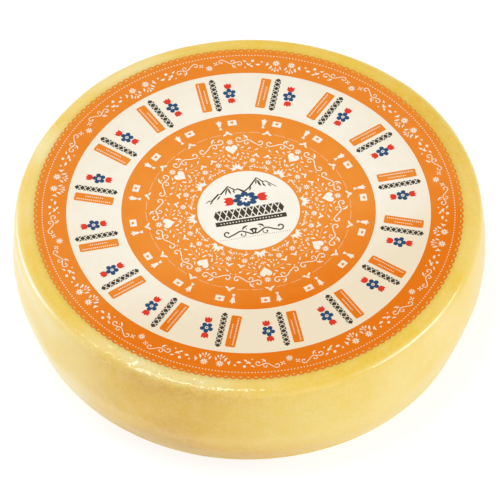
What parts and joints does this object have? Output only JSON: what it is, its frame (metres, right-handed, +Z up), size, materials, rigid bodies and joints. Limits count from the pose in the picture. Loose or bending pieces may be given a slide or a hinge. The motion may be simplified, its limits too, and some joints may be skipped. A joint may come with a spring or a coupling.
{
  "type": "cheese wheel",
  "caption": "Whole round wheel of semi-hard cheese with a swelling side, rounded edges and a printed paper label with a lace edge on its flat upper face.",
  "frame": {"origin": "centre of the flat underside", "axes": "+Z up along the wheel's axis, out of the labelled face; -Y towards the side that is seen"},
  "size_m": [0.3, 0.3, 0.0772],
  "materials": {
    "cheese_rind": "smooth waxy pale yellow rind with a soft gloss and a fine mottled grain",
    "printed_paper": "satin paper printed in orange and cream, with small dark, red and blue motifs"
  },
  "bodies": {
    "root": {"cheese_wheel": "cheese_rind", "paper_label": "printed_paper"}
  },
  "joints": []
}
